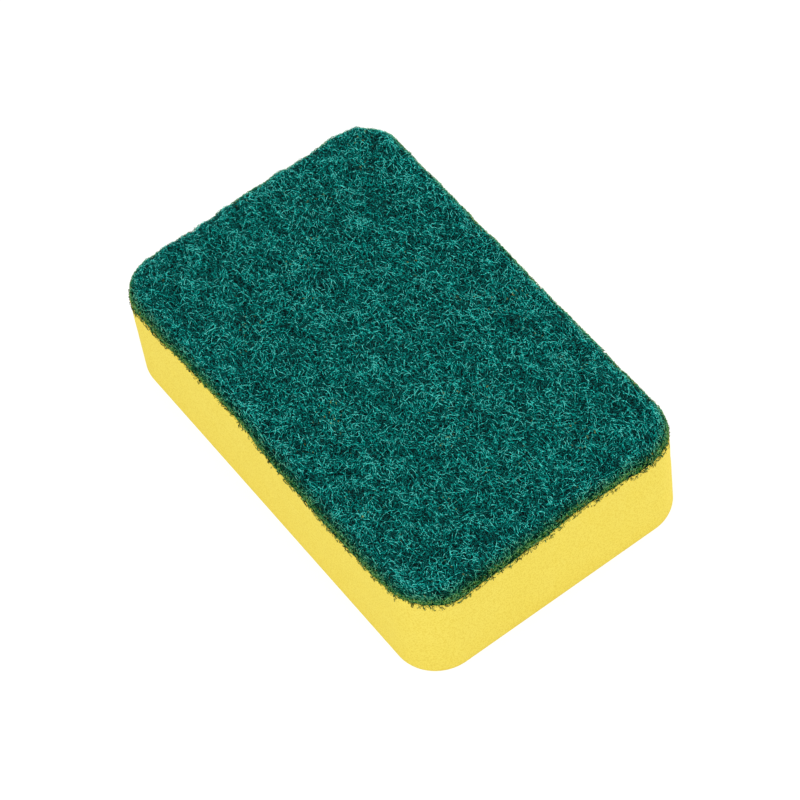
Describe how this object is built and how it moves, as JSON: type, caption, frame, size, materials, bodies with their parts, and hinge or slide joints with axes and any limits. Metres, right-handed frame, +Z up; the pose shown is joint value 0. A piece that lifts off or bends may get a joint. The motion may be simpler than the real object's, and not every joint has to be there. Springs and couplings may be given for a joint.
{
  "type": "cleaning sponge",
  "caption": "Rounded block of soft yellow foam with a scouring pad of dark green curly fibre bonded to its top, for washing and scrubbing by hand.",
  "frame": {"origin": "centre of the foam's flat underside", "axes": "+X along the length, +Y across the width, +Z up through the scouring pad"},
  "size_m": [0.11, 0.07, 0.0304],
  "materials": {
    "foam": "matt fine-celled soft foam, yellow",
    "fibre_web": "matt web of curly plastic fibres, dark teal green"
  },
  "bodies": {
    "root": {"foam_block": "foam", "scouring_pad": "fibre_web"}
  },
  "joints": []
}
